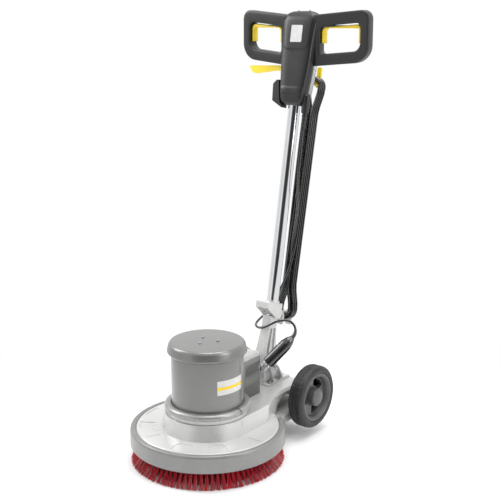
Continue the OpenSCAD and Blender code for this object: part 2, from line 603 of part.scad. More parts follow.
// A round tube swept along smooth points; ref keeps the rings from twisting.
function unit(a) = a / norm(a);
function spline(p, i, t) = let (a = p[max(i - 1, 0)], b = p[i], c = p[i + 1], d = p[min(i + 2, len(p) - 1)])
  0.5 * (2 * b + (c - a) * t + (2 * a - 5 * b + 4 * c - d) * t * t + (3 * b - a - 3 * c + d) * t * t * t);
function route(p, k) = concat([for (i = [0 : len(p) - 2]) for (j = [0 : k - 1]) spline(p, i, j / k)], [p[len(p) - 1]]);
module swept(p, r, ref, n = 10) {
  m = len(p);
  pts = [for (i = [0 : m - 1]) let (t = unit(p[min(i + 1, m - 1)] - p[max(i - 1, 0)]),
    u = unit(cross(t, ref)), v = cross(u, t)) for (j = [0 : n - 1])
      p[i] + r * (cos(j * 360 / n) * u + sin(j * 360 / n) * v)];
  polyhedron(pts, concat([[for (j = [0 : n - 1]) j]],
    [for (i = [0 : m - 2]) for (j = [0 : n - 1]) [i * n + (j + 1) % n, i * n + j,
      (i + 1) * n + j, (i + 1) * n + (j + 1) % n]],
    [[for (j = [n - 1 : -1 : 0]) (m - 1) * n + j]]));
}
module lead_top() color(black) hl() swept(route(top_route, 3), cord_d / 2, [1, 0, 0]);
module lead_foot() color(black) hl() swept(route(foot_route, 2), cord_d / 2, [0.2, 0, 1]);
// Plug, hanging nose down beside the leg.
module plug_at() hl() translate([40.5, -49.4, 17.1]) rotate([0, 37.8, 40.3]) children();
module plug() color(black) plug_at() rotate_extrude()
  polygon([[0, 0], [17, 0], [19, 2], [19, 66], [18, 80], [14, 94], [8, 106], [0, 106]]);
module plug_pins() color([0.85, 0.86, 0.87]) plug_at() for (s = [-1, 1])
  translate([s * 9.5, 0, -19]) cylinder(r = 2.4, h = 19, $fn = 32);

module end_shields() { lower_shield(); upper_shield(); }
module base_screws() { cap_screw_set(); bracket_bolt_set(); }
module cord_ends() { lead_top(); lead_foot(); }

bristles();
brush_plate();
brush_coupling();
drive_hub();
planet_carrier();
planet_gear_1();
planet_gear_2();
planet_gear_3();
ring_gear();
output_bearing();
gear_cover();
deck();
bumper();
end_shields();
base_band();
motor_sleeve();
motor_cap();
base_screws();
motor_bearings();
stator();
windings();
rotor_core();
motor_shaft();
cooling_fan();
capacitor_box();
box_lid();
capacitors();
rating_label();
axle();
wheel_hub_left();
tyre_left();
hub_cap_left();
wheel_hub_right();
tyre_right();
hub_cap_right();
deck_bracket();
hinge_pins();
handle_leg();
tube();
lower_hook();
lock_rod();
head_front();
head_rear();
head_screws();
socket_box();
badge_plate();
grip_left();
grip_right();
switch_lever_left();
switch_lever_right();
head_pins();
micro_switches();
lockout_button();
tilt_lever();
upper_hook();
cord_boot();
cord_ends();
cord_hank();
plug();
plug_pins();
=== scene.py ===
"""Rotary floor machine: materials, finished surfaces, studio and camera.

Positions are in metres in the machine's own frame: +Z up, the brush end
towards -Y and the operator's end towards +Y. Handle parts are worked out in
the leaning frame of the handle: x across, v towards the rear, w up the tube.
"""
import bmesh
import bpy
import json
import math
import numpy as np
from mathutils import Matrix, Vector

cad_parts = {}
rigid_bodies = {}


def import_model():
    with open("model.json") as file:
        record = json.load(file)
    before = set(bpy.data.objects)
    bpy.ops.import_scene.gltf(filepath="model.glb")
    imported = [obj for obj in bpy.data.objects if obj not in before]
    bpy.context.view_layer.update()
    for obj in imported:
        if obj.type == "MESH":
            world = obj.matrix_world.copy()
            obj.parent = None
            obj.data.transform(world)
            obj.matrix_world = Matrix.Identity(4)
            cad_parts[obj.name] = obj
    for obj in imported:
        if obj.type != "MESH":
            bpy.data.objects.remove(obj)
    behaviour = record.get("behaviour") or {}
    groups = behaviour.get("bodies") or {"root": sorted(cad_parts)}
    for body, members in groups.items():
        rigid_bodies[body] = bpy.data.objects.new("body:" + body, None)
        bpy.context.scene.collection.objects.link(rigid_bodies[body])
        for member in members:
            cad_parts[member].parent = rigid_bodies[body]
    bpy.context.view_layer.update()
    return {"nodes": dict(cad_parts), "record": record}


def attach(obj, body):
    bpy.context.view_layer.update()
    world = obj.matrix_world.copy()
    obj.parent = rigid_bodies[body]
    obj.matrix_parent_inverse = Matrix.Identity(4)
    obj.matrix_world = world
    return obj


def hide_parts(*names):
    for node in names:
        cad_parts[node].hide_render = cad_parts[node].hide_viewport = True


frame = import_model()
NODES = frame["nodes"]

MM = 0.001
FRAME_Y = -165.0
FOOT = np.array([0.0, 269.5 + FRAME_Y, 189.0])
LEAN = math.radians(10.34)
ALONG_V = np.array([0.0, math.cos(LEAN), -math.sin(LEAN)])
ALONG_W = np.array([0.0, math.sin(LEAN), math.cos(LEAN)])


def from_handle(p):
    """Handle-frame points (x, v, w) in mm to machine points in metres: foot + x across + v and w
    along their leaning axes."""
    p = np.asarray(p, float)
    q = FOOT + p[..., :1] * np.array([1.0, 0, 0]) + p[..., 1:2] * ALONG_V + p[..., 2:3] * ALONG_W
    return q * MM


def from_machine(p):
    """Machine points in mm, measured from the brush axis, to metres in the shared frame."""
    return (np.asarray(p, float) + np.array([0.0, FRAME_Y, 0.0])) * MM


# ---------------------------------------------------------------- camera
LENS_MM, SENSOR_MM = 70.0, 36.0
CAMERA_AT, CAMERA_TO = (1.611, -2.095, 1.200), (0.1155, -0.1235, 0.600)


def aim(obj, place, target):
    """Turns an object so that its -Z axis points from place to target with no roll."""
    obj.location = place
    way = Vector(target) - Vector(place)
    obj.rotation_euler = way.to_track_quat("-Z", "Y").to_euler()


cam_data = bpy.data.cameras.new("camera")
cam_data.lens = LENS_MM
cam_data.sensor_width = SENSOR_MM
camera = bpy.data.objects.new("camera", cam_data)
bpy.context.scene.collection.objects.link(camera)
aim(camera, CAMERA_AT, CAMERA_TO)
bpy.context.scene.camera = camera


# ---------------------------------------------------------------- mesh tools
def new_object(name, verts, faces, body, smooth=True, weld=True):
    """Puts arrays of points and faces into a mesh, joins points that fall together at poles and
    seams, and lets it ride on a body."""
    mesh = bpy.data.meshes.new(name)
    mesh.from_pydata(np.asarray(verts, float).reshape(-1, 3).tolist(), [], faces)
    mesh.update()
    if weld:
        bm = bmesh.new()
        bm.from_mesh(mesh)
        bmesh.ops.remove_doubles(bm, verts=bm.verts, dist=1e-6)
        bm.to_mesh(mesh)
        bm.free()
    mesh.polygons.foreach_set("use_smooth", [smooth] * len(mesh.polygons))
    obj = bpy.data.objects.new(name, mesh)
    bpy.context.scene.collection.objects.link(obj)
    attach(obj, body)
    return obj


def grid_faces(nu, nv, wrap_u=False, wrap_v=False, flip=False, start=0):
    """Quads of an nu by nv grid of points, wrapped round in either direction when asked."""
    u = np.arange(nu if wrap_u else nu - 1)
    v = np.arange(nv if wrap_v else nv - 1)
    i, j = np.meshgrid(u, v, indexing="ij")
    i2, j2 = (i + 1) % nu, (j + 1) % nv
    q = np.stack([i * nv + j, i2 * nv + j, i2 * nv + j2, i * nv + j2], -1).reshape(-1, 4) + start
    return (q[:, ::-1] if flip else q).tolist()


def tube_surface(name, rings, body, closed=False, flip=False):
    """A skin over rings of points (rings, points, 3). Open skins are capped with one flat face at
    each end."""
    n, m = rings.shape[:2]
    faces = grid_faces(n, m, closed, True, flip)
    if not closed:
        a = list(range(m))
        b = [(n - 1) * m + k for k in range(m)]
        faces += [a if not flip else a[::-1], b[::-1] if not flip else b]
    return new_object(name, rings, faces, body)


def drawn_line(points, per):
    """A cubic B-spline drawn by a control polygon, which it leaves and reaches at its end points:
    each piece is the usual cubic blend of four neighbouring points."""
    p = np.asarray(points, float)
    p = np.vstack([2 * p[0] - p[1], p, 2 * p[-1] - p[-2]])
    t = (np.arange(per) / per)[None, :, None]
    a, b, c, d = (p[k:len(p) - 3 + k][:, None, :] for k in range(4))
    s = ((1 - t) ** 3 * a + (3 * t ** 3 - 6 * t ** 2 + 4) * b
         + (-3 * t ** 3 + 3 * t ** 2 + 3 * t + 1) * c + t ** 3 * d) / 6
    return np.vstack([s.reshape(-1, p.shape[1]), points[-1:]])


def smoothstep(x):
    """0 below 0, 1 above 1, and 3x squared less 2x cubed between."""
    x = np.clip(x, 0.0, 1.0)
    return x * x * (3 - 2 * x)


def power(x, p):
    """A signed power, which squares up a circle into a rounded box."""
    return np.sign(x) * np.abs(x) ** p


def rounded_profile(points, radius, per=5):
    """A polyline of (r, z) whose corners are swapped for arcs: each corner is cut back by up to the
    radius and bent over as a quadratic curve."""
    p = np.asarray(points, float)
    out = [p[:1]]
    t = np.linspace(0, 1, per)[:, None]
    for a, b, c in zip(p[:-2], p[1:-1], p[2:]):
        la, lc = np.linalg.norm(a - b), np.linalg.norm(c - b)
        k = min(radius, 0.48 * la, 0.48 * lc)
        s, e = b + (a - b) * k / la, b + (c - b) * k / lc
        out.append((1 - t) ** 2 * s + 2 * t * (1 - t) * b + t ** 2 * e)
    out.append(p[-1:])
    return np.vstack(out)


def turned(name, profile, body, place, seg=128, first=0.0, sweep=360.0, wave=None):
    """A profile of (r, z) in mm turned round an upright axis: x = r cos a, y = r sin a. place maps
    the mm points to metres. wave may change r by angle and height. A part turn gets flat ends."""
    prof = np.asarray(profile, float)
    full = sweep >= 360.0
    a = np.radians(first + np.linspace(0, sweep, seg + (0 if full else 1), endpoint=not full))
    r, z = prof[None, :, 0], prof[None, :, 1]
    if wave is not None:
        r = r + wave(a[:, None], r, z)
    p = np.stack([r * np.cos(a)[:, None], r * np.sin(a)[:, None], z + 0 * a[:, None]], -1)
    n, m = p.shape[:2]
    ring = bool(np.allclose(prof[0], prof[-1]))
    if ring:
        p = p[:, :-1]
        m -= 1
    faces = grid_faces(n, m, full, ring)
    if not full and ring:
        faces += [list(range(m)), [(n - 1) * m + k for k in range(m)][::-1]]
    return new_object(name, place(p), faces, body)


def soften(obj, width, segments=3, angle=32.0):
    """Welds a CAD node's loose triangles, then rounds its sharp edges by the width in mm."""
    w = obj.modifiers.new("weld", "WELD")
    w.merge_threshold = 0.02 * MM
    b = obj.modifiers.new("round", "BEVEL")
    b.width = width * MM
    b.segments = segments
    b.limit_method = "ANGLE"
    b.angle_limit = math.radians(angle)
    b.use_clamp_overlap = True
    b.harden_normals = False
    n = obj.modifiers.new("normals", "WEIGHTED_NORMAL")
    n.keep_sharp = False
    n.weight = 60


# ---------------------------------------------------------------- mains lead
CORD_D = 7.0
# the hooks' heights in w, the strands' places in v, and how far they ease in from a hook
HANK_T, HANK_B = 830.0, 165.0
HANK_V = [75.5, 84.8, 94.1, 103.4]
HANK_EASE = 80.0
# heights where the lead joins the hank from above and leaves it below
JOIN_W, LEAVE_W = 310, 400
# an upward run shifts to its next place from this far above the fold, over this height
SHIFT_FROM, SHIFT_OVER, SHIFT_ASIDE = 60, 480, 14
RUN_POINTS = 36
# the hank's foot hangs this much nearer the tube; the lead turns into the boot on this radius
FOOT_IN, BOOT_BEND = 16, 29
# fold radius and half width at the waist
ROWS = {"inner": (21.2, 6.6), "outer": (29.2, 15.4)}


def run_x(w, radius, waist):
    """Distance of a run from the middle: the fold radius at each end, easing to the waist over
    HANK_EASE."""
    near = np.minimum(HANK_T - w, w - HANK_B)
    return waist + (radius - waist) * (0.5 + 0.5 * np.cos(np.pi * np.clip(near / HANK_EASE, 0, 1)))


def hank_turn(row0, v0, row1, v1, first_w=HANK_T):
    """One turn: down on the right, half circle below, up on the left while it shifts to the next
    place, half circle above."""
    (r0, h0), (r1, h1) = ROWS[row0], ROWS[row1]
    w = np.linspace(first_w, HANK_B, RUN_POINTS)
    down = np.stack([run_x(w, r0, h0), v0 + 0 * w, w], -1)
    a = np.linspace(0, np.pi, 15)[1:-1]
    below = np.stack([r0 * np.cos(a), v0 + 0 * a, HANK_B - r0 * np.sin(a)], -1)
    w = np.linspace(HANK_B, HANK_T, RUN_POINTS)
    s = smoothstep((w - HANK_B - SHIFT_FROM) / SHIFT_OVER)
    r, h = r0 + (r1 - r0) * s, h0 + (h1 - h0) * s
    aside = SHIFT_ASIDE * s * (1 - s) * (row0 != row1)
    up = np.stack([-run_x(w, r, h), v0 + (v1 - v0) * s + aside, w], -1)
    above = np.stack([-r1 * np.cos(a), v1 + 0 * a, HANK_T + r1 * np.sin(a)], -1)
    return np.vstack([down, below, up, above])


lead = drawn_line([[41, -4, 698], [41, -4, 676], [41, -4, 640], [41, -3.5, 596], [40, 2, 552],
                   [37, 16, 510], [30, 34, 472], [21, 51, 438], [13, 63, 402], [8, 69.5, 368],
                   [6.6, 73.5, 338], [6.6, 75.5, JOIN_W]], 5)
line = [lead[:-1], hank_turn("inner", HANK_V[0], "inner", HANK_V[1], first_w=JOIN_W)]
for k in (1, 2):
    line.append(hank_turn("inner", HANK_V[k], "inner", HANK_V[k + 1]))
line.append(hank_turn("inner", HANK_V[3], "outer", HANK_V[3]))
for k in (3, 2, 1):
    line.append(hank_turn("outer", HANK_V[k], "outer", HANK_V[k - 1]))
w_end = np.linspace(HANK_T, LEAVE_W, 24)
line.append(np.stack([run_x(w_end, *ROWS["outer"]), HANK_V[0] + 0 * w_end, w_end], -1))
# the lead swings round the foot of the leg and turns over into the plug's boot on an arc
SHOULDER = np.array([89.8, -7.5, 100.8])
UP = np.array([0.465, 0.395, 0.790]) / np.linalg.norm([0.465, 0.395, 0.790])
BACK = np.array([-0.83, -0.50, -0.24]) / np.linalg.norm([-0.83, -0.50, -0.24])
OVER = BACK - (BACK @ UP) * UP
OVER /= np.linalg.norm(OVER)
turn = np.linspace(math.acos(BACK @ UP), 0, 14)[:, None]
arc = SHOULDER + BOOT_BEND * (np.sin(turn) * UP + (1 - np.cos(turn)) * OVER)
swing = drawn_line([[15.4, 75.5, LEAVE_W], [15.4, 75.2, 365], [15.2, 69, 325], [12.5, 62, 285],
                    [3, 56, 248], [-9, 52, 216], [-20, 47, 188], [-29, 36, 162], [-37, 14, 140],
                    [-38, -20, 122], [-20, -44, 113], [10, -46, 114], arc[0] + 26 * BACK,
                    arc[0] + 9 * BACK, arc[0]], 6)
line.append(np.vstack([swing[1:], arc[1:]]))
route = np.vstack(line)
# the hank hangs nearer the tube at its foot than at the upper hook
drop = FOOT_IN * (HANK_T - route[:, 2]) / (HANK_T - HANK_B)
route[:, 1] -= drop * smoothstep((route[:, 1] - 10) / 60)
# points closer than half a millimetre are dropped
keep = np.r_[True, np.linalg.norm(np.diff(route, axis=0), axis=1) > 0.5]
route = route[keep]

curve = bpy.data.curves.new("mains_lead", "CURVE")
curve.dimensions = "3D"
# each point carries the lead's radius, so that the curve's bound box is the lead's own
curve.bevel_depth = 1.0
curve.bevel_resolution = 3
curve.use_fill_caps = True
spline = curve.splines.new("POLY")
spline.points.add(len(route) - 1)
route_m = from_handle(route)
spline.points.foreach_set("co", np.hstack([route_m, np.ones((len(route), 1))]).ravel())
spline.use_smooth = True
spline.points.foreach_set("radius", np.full(len(route), CORD_D / 2 * MM))
mains_lead = bpy.data.objects.new("mains_lead", curve)
bpy.context.scene.collection.objects.link(mains_lead)
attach(mains_lead, "handle")
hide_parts("cord_ends", "cord_hank")

# the plug hangs nose down beside the leg: PLUG is its nose, TIP its lean and TURN which way
PLUG = np.array([40.5, -49.4, 17.1])
TIP, TURN = math.radians(37.8), math.radians(40.3)
PLUG_Z = np.array([math.sin(TIP) * math.cos(TURN), math.sin(TIP) * math.sin(TURN), math.cos(TIP)])
PLUG_X = np.array([math.cos(TIP) * math.cos(TURN), math.cos(TIP) * math.sin(TURN), -math.sin(TIP)])
PLUG_Y = np.array([-math.sin(TURN), math.cos(TURN), 0.0])


def from_plug(p):
    """Plug-frame points in mm, nose at the origin and lead end along +z, to metres."""
    return from_handle(PLUG + p[..., :1] * PLUG_X + p[..., 1:2] * PLUG_Y + p[..., 2:3] * PLUG_Z)


def grip_ribs(a, r, z):
    """Two flat finger panels: the radius drops by 1.4 mm over the middle of each side."""
    side = smoothstep((np.abs(np.cos(a - 0.9)) - 0.72) / 0.12)
    along = smoothstep((z - 12) / 6) * smoothstep((78 - z) / 8)
    return -1.4 * side * along * (r > 12)


plug_line = rounded_profile([[0, 0], [15.6, 0], [15.6, 2.5], [18.9, 2.5], [18.9, 62], [18, 78],
                             [14.5, 92], [8.4, 103], [7.2, 106], [0, 106]], 3.0)
plug_body = turned("plug_shell", plug_line, "handle", from_plug, 72, wave=grip_ribs)
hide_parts("plug")
# the plug's ribbed strain relief follows the last stretch of the lead
RELIEF = 26
relief_line = route[-1:-16:-1]
relief_step = np.r_[0, np.cumsum(np.linalg.norm(np.diff(relief_line, axis=0), axis=1))]
relief_s = np.linspace(0, RELIEF, 53)
relief_mid = np.stack([np.interp(relief_s, relief_step, relief_line[:, k]) for k in range(3)], 1)
relief_way = np.gradient(relief_mid, axis=0)
relief_way /= np.linalg.norm(relief_way, axis=1, keepdims=True)
relief_u = np.cross(relief_way, [0.9, -0.4, 0.1])
relief_u /= np.linalg.norm(relief_u, axis=1, keepdims=True)
relief_v = np.cross(relief_way, relief_u)
# five rings, 5.2 mm apart, on a taper from 7.2 to 4.6 mm radius
relief_r = 7.2 - 2.6 * relief_s / RELIEF
relief_r = relief_r - 1.3 * smoothstep((np.abs((relief_s / 5.2) % 1 - 0.5) - 0.2) / 0.12)
relief_a = np.linspace(0, 2 * np.pi, 32, endpoint=False)[None, :, None]
relief_out = np.cos(relief_a) * relief_u[:, None] + np.sin(relief_a) * relief_v[:, None]
relief_rings = relief_mid[:, None] + relief_r[:, None, None] * relief_out
plug_relief = tube_surface("plug_relief", from_handle(relief_rings), "handle")
boot_line = rounded_profile([[0, -48], [4.8, -48], [5, -42], [6.5, -41], [6.5, -36.5], [5.2, -35.5],
                             [5.2, -31.5], [6.8, -30.5], [6.8, -26], [5.6, -25], [5.6, -21],
                             [7.2, -20], [7.2, -15.5], [6, -14.5], [6, -10.5], [7.6, -9.5],
                             [7.6, -5], [6.6, -4], [6.6, -1], [10.5, 0.5], [11.4, 14], [12.2, 40],
                             [12, 50], [9, 55], [0, 56]], 0.9, 4)
GLAND = np.array([41.0, -4.0, 746.0])


def from_gland(p):
    """Points about the gland's own axis, lead end at z -48, to metres."""
    return from_handle(p + GLAND)


gland = turned("lead_gland", boot_line, "handle", from_gland, 48)
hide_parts("cord_boot")


# ---------------------------------------------------------------- brush
# in mm: the block's lower face, a tuft's radius at its root and the brush's outermost radius
BLOCK_Z = 48.5
TUFT_R = 2.4
BRUSH_R = 214.8
FIRST_SEED = 11


def filaments(count, r_root, r_tip, z_root, spread, per_tuft, thick, twist, seed):
    """Tufts of bristle filaments: each is a thin four-sided rod whose line leaves the block upright
    and bends outwards with its length to the power 1.6; filaments fan out round their tuft's
    middle."""
    rng = np.random.default_rng(seed)
    a = np.radians(np.arange(count) * 360.0 / count + twist)
    tuft = np.repeat(np.arange(count), per_tuft)
    k = len(tuft)
    fan = rng.uniform(0, 2 * np.pi, k)
    far = np.sqrt(rng.uniform(0.02, 1.0, k))
    dr, dt = np.cos(fan) * far, np.sin(fan) * far
    s = np.linspace(0, 1, 5)
    bend = s ** 1.6
    r = (r_root + dr[:, None] * TUFT_R) + (r_tip - r_root + dr[:,
                                                               None] * spread * 0.35 - 1.0) * bend
    t = dt[:, None] * (TUFT_R + spread * bend) + rng.normal(0, 0.8, k)[:, None] * bend
    ang = a[tuft][:, None] + t / r
    r = np.minimum(r, BRUSH_R)
    z = z_root * (1 - s)[None, :] + (rng.uniform(0, 1.6, k)[:, None] * s)
    half = thick * (1 - 0.35 * s)[None, :] * rng.uniform(0.8, 1.15, k)[:, None]
    c, n = np.cos(ang), np.sin(ang)
    mid = np.stack([r * c, r * n, z + 0 * r], -1)
    out = np.stack([c, n, 0 * c], -1) * half[..., None]
    side = np.stack([-n, c, 0 * c], -1) * half[..., None]
    p = np.stack([mid + out, mid + side, mid - out, mid - side], 2)
    base = (np.arange(k) * 20)[:, None]
    quads = np.array([[i * 4 + j, i * 4 + (j + 1) % 4, (i + 1) * 4 + (j + 1) % 4, (i + 1) * 4 + j]
                      for i in range(4) for j in range(4)] + [[16, 17, 18, 19]])[:, ::-1]
    return p.reshape(-1, 3), (base[:, :, None] + quads[None]).reshape(-1, 4)


# tufts, root radius, tip radius, fan, filaments in a tuft, half thickness, twist in degrees
rings = [(84, 182, 211.5, 4.4, 16, 1.0, 0), (66, 163, 180, 4.5, 9, 1.3, 2),
         (60, 148, 162, 4.5, 7, 1.5, 1), (52, 134, 143, 4.5, 6, 1.6, 0),
         (46, 123, 130, 4.0, 5, 1.6, 2)]
pts, quads, count = [], [], 0
for i, (n, r0, r1, fan, per, thick, twist) in enumerate(rings):
    p, q = filaments(n, r0, r1, BLOCK_Z, fan, per, thick, twist, FIRST_SEED + i)
    pts.append(p)
    quads.append(q + count)
    count += len(p)
brush_tufts = new_object("brush_tufts", from_machine(np.vstack(pts)), np.vstack(quads).tolist(),
                         "brush", smooth=False, weld=False)
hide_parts("bristles")

# ---------------------------------------------------------------- bumper, band, cap
bumper_line = [[198, 60.1], [199.5, 47.2], [212.5, 47.2], [215, 50], [215, 91], [211.5, 96.5],
               [201, 96.5], [198, 94.5], [198, 60.1]]
bumper_line = rounded_profile(bumper_line, 4.0, 5)
# the rounded line is closed on its second point
bumper_line = np.vstack([bumper_line[1:], bumper_line[1:2]])
bumper_ring = turned("bumper_ring", bumper_line, "base", from_machine, 200, 132.0,
                     276.0)
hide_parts("bumper")

cap_line = rounded_profile([[0, 306.2], [96, 306.2], [105, 306.0], [110.6, 311.5], [108, 322],
                            [105.2, 332], [100, 338], [0, 338]], 6.0, 7)
motor_cap = turned("motor_cap_skin", cap_line, "base", from_machine, 160)
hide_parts("motor_cap")

band_line = rounded_profile([[99.6, 150.1], [117, 150.1], [119, 152], [119, 161], [112.5, 166.8],
                             [99.6, 167], [99.6, 150.1]], 5.0, 7)
band = turned("clamp_band", band_line, "base", from_machine, 180, 1.6, 356.8)
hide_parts("base_band")


# ---------------------------------------------------------------- wheels
# axle's place, the inner face of a wheel, the middle of a tyre and the cuts round it
AXLE_Y, AXLE_Z, WHEEL_X = 305, 113.5, 117
TYRE_MID, TREAD_CUTS, TREAD_DEPTH = 23.5, 36, 1.2


def tread(a, r, z):
    """Shallow slanting cuts across the tread: r drops by TREAD_DEPTH where a saw of angle and width
    is near its middle."""
    phase = (a * TREAD_CUTS / (2 * np.pi) + np.abs(z - TYRE_MID) / 60.0) % 1.0
    cut = smoothstep((0.10 - np.abs(phase - 0.5)) / 0.04)
    return -TREAD_DEPTH * cut * smoothstep((r - 91.4) / 0.6) * (np.abs(z - TYRE_MID) > 5.5)


tyre_line = rounded_profile([[72, 3], [73, 1.2], [77, 0.2], [79, 0.2], [79.6, 1.0], [80.4, 1.0],
                             [81, 0.2], [86, 1.2], [90.6, 5.5], [92.4, 11], [92.5, 17.5],
                             [90.3, 18.6], [90.3, 20.4], [92.5, 21.5], [92.5, 25.5], [90.3, 26.6],
                             [90.3, 28.4], [92.5, 29.5], [92.4, 36], [90.6, 41.5], [86, 45.8],
                             [81, 46.8], [80.4, 46.0], [79.6, 46.0], [79, 46.8], [77, 46.8],
                             [73, 45.8], [72, 44], [72, 3]], 1.4, 4)
for side, s in (("left", -1), ("right", 1)):
    def from_wheel(p, s=s):
        """Wheel points, turned axis along z, laid across the machine with z outwards from the inner
        face."""
        return from_machine(np.stack([s * (WHEEL_X + p[..., 2]), AXLE_Y - s * p[..., 1],
                                      AXLE_Z + p[..., 0]], -1))
    t = turned("tyre_tread_" + side, tyre_line, "wheel_" + side, from_wheel, 288,
               wave=tread)
    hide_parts("tyre_" + side)
    # closed back of the hub behind its spokes; its near-black colour is painted shade seen through
    # the spoke openings
    turned("hub_web_" + side, [[24, 2.0], [71, 2.0], [71, 4.0], [24, 4.0], [24, 2.0]],
           "wheel_" + side, from_wheel, 96)

# ---------------------------------------------------------------- handle head
# the head's keys along w, with its half width and the depths of its two shells at each
W_KEYS = np.array([766, 770, 776, 786, 798, 816, 850, 889, 945, 985, 1005, 1016, 1024, 1030, 1034,
                   1036.0])
HALF_W = np.array([30, 34, 38, 40.5, 42.5, 45, 48.5, 52, 55, 58, 59.5, 58.5, 54, 46, 36, 26.0])
FRONT_D = np.array([20, 24.5, 28.5, 31.2, 32.2, 32.5, 32, 31.5, 31, 30.5, 29, 26.5, 22.5, 17.5, 12,
                    6.0])
REAR_D = np.array([16, 22, 27, 30.5, 32, 32, 32, 32, 32, 32, 30, 27.5, 24, 20, 15, 9.0])


def eased(keys, values, at):
    """Values between keys by a monotone cubic: slopes are the harmonic mean of the neighbouring
    steps."""
    h = np.diff(keys)
    d = np.diff(values) / h
    same = d[:-1] * d[1:] > 0
    m = np.zeros(len(keys))
    with np.errstate(divide="ignore", invalid="ignore"):
        m[1:-1] = np.where(same, 2 * d[:-1] * d[1:] / (d[:-1] + d[1:]), 0)
    m[0], m[-1] = d[0], d[-1]
    i = np.clip(np.searchsorted(keys, at) - 1, 0, len(h) - 1)
    t = (at - keys[i]) / h[i]
    return ((2 * t ** 3 - 3 * t ** 2 + 1) * values[i] + (t ** 3 - 2 * t ** 2 + t) * h[i] * m[i]
            + (3 * t ** 2 - 2 * t ** 3) * values[i + 1] + (t ** 3 - t ** 2) * h[i] * m[i + 1])


HEAD_LOW, HEAD_HIGH = 766.0, 1036.0
WALL = 2.6


def shell_half(front):
    """One half of the head's skin. Across it is a rounded box: x = half width times a power of cos,
    v = depth times a power of sin; both ends draw in to a closed point."""
    w = np.concatenate([[HEAD_LOW] * 3, np.linspace(HEAD_LOW, HEAD_HIGH, 126), [HEAD_HIGH] * 3])
    pull = np.concatenate([[0.0, 0.5, 0.9], np.ones(126), [0.9, 0.5, 0.0]])
    whole = (pull == 1)[:, None]
    a = eased(W_KEYS, HALF_W, w)[:, None]
    f = eased(W_KEYS, FRONT_D if front else REAR_D, w)[:, None]
    t = np.linspace(0, np.pi, 129)[None, :]
    ww = w[:, None] + 0 * t
    if not front:
        x, v = a * power(np.cos(t), 0.42), f * np.abs(np.sin(t)) ** 0.55
        # grooves down each side of the rear shell
        on_side = smoothstep((np.abs(x) / a - 0.80) / 0.15)
        groove = smoothstep((np.abs(((v / 8.0) % 1.0) - 0.5) - 0.28) / 0.14)
        x = x - (np.sign(x) * 2.0 * groove * on_side
                 * smoothstep((ww - 782) / 10) * smoothstep((1002 - ww) / 10))
        x, v = x * pull[:, None], v * pull[:, None]
        return np.stack([x, 0.25 + v * (1 - 0.25 / 32), ww], -1)
    # the face is a flat trapezoid, set off from the sides by a broad bevel
    x, v = a * power(np.cos(t), 0.50), f * np.abs(np.sin(t)) ** 0.42
    side = smoothstep((np.abs(x) / a - 0.80) / 0.17)
    x = x - np.sign(x) * 1.4 * side * smoothstep((v / f - 0.25) / 0.3)
    face = smoothstep((v / f - 0.72) / 0.2)
    # raised panel round the badge, closed below by an arc
    qx, qw = np.abs(x) - (0.78 * a - 16), np.abs(ww - 1000) - (76 - 16)
    edge = np.hypot(np.maximum(qx, 0), np.maximum(qw, 0)) + np.minimum(np.maximum(qx, qw), 0) - 16
    v = v - 1.5 * smoothstep(edge / 3.0 + 0.5) * face * smoothstep((ww - 812) / 8) * whole
    # step of the lower lip
    v = v - 1.2 * smoothstep((799 - ww) / 2.4) * face * whole
    x, v = x * pull[:, None], v * pull[:, None]
    return np.stack([x, -(0.25 + v * (1 - 0.25 / 36)), ww], -1)


for front, name, node, slot in ((True, "head_cover", "head_front", "head_plastic"),
                                (False, "head_back", "head_rear", "head_rear_plastic")):
    p = shell_half(front)
    n, m = p.shape[:2]
    faces = grid_faces(n, m, flip=not front)
    shell = new_object(name, from_handle(p), faces, "handle")
    s = shell.modifiers.new("wall", "SOLIDIFY")
    s.thickness = WALL * MM
    s.offset = -1.0
    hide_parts(node)


# ---------------------------------------------------------------- grips and switch levers
GRIP_TURN = math.radians(6)
CLIMB = 0.09
GRIP_Y = 440
# the liner's level lower edge, and the height where its two ends stop
LINER_LEVEL, LINER_END = 1161.5, 1118.5


def corner(cx, cz, r, a0, a1, k):
    """k points of an arc about (cx, cz), angles in degrees."""
    a = np.radians(np.linspace(a0, a1, k))
    return np.stack([cx + r * np.cos(a), cz + r * np.sin(a)], -1)


def outline(x0, x1, z0, z1, r_tr, r_br, r_bl, r_tl, k=9, m=10):
    """A rounded box as a closed line whose upright sides stay upright while its bars climb 9 in 100
    outwards; k points on each corner and m along each side, so that two outlines match point for
    point."""
    arcs = [corner(x1 - r_tr, z1 - r_tr, r_tr, 90, 0, k), corner(x1 - r_br, z0 + r_br, r_br, 0, -90,
                                                                 k),
            corner(x0 + r_bl, z0 + r_bl, r_bl, -90, -180, k),
            corner(x0 + r_tl, z1 - r_tl, r_tl, 180, 90, k)]
    out = []
    for i, arc in enumerate(arcs):
        nxt = arcs[(i + 1) % 4][0]
        s = np.linspace(0, 1, m + 2)[1:-1, None]
        out += [arc, arc[-1] + (nxt - arc[-1]) * s]
    out = np.vstack(out)
    return out + np.stack([0 * out[:, 0], CLIMB * (out[:, 0] - 190)], -1)


def bar_between(inner, outer, y_mid, y_half, s, around=20, square=0.36):
    """A bar whose section is a rounded box: it spans from the inner to the outer outline and y_half
    to each side, mirrored for the left grip."""
    mid, half = (inner + outer) / 2, (outer - inner) / 2
    t = np.linspace(0, 2 * np.pi, around, endpoint=False)
    c, n = power(np.cos(t), square), power(np.sin(t), square)
    xz = mid[:, None] + half[:, None] * c[None, :, None]
    y = y_mid + y_half * n[None, :] + 0 * xz[..., 0]
    x = xz[..., 0] * math.cos(GRIP_TURN) - y * math.sin(GRIP_TURN)
    yy = xz[..., 0] * math.sin(GRIP_TURN) + y * math.cos(GRIP_TURN)
    return from_machine(np.stack([s * x, GRIP_Y + yy, xz[..., 1]], -1))


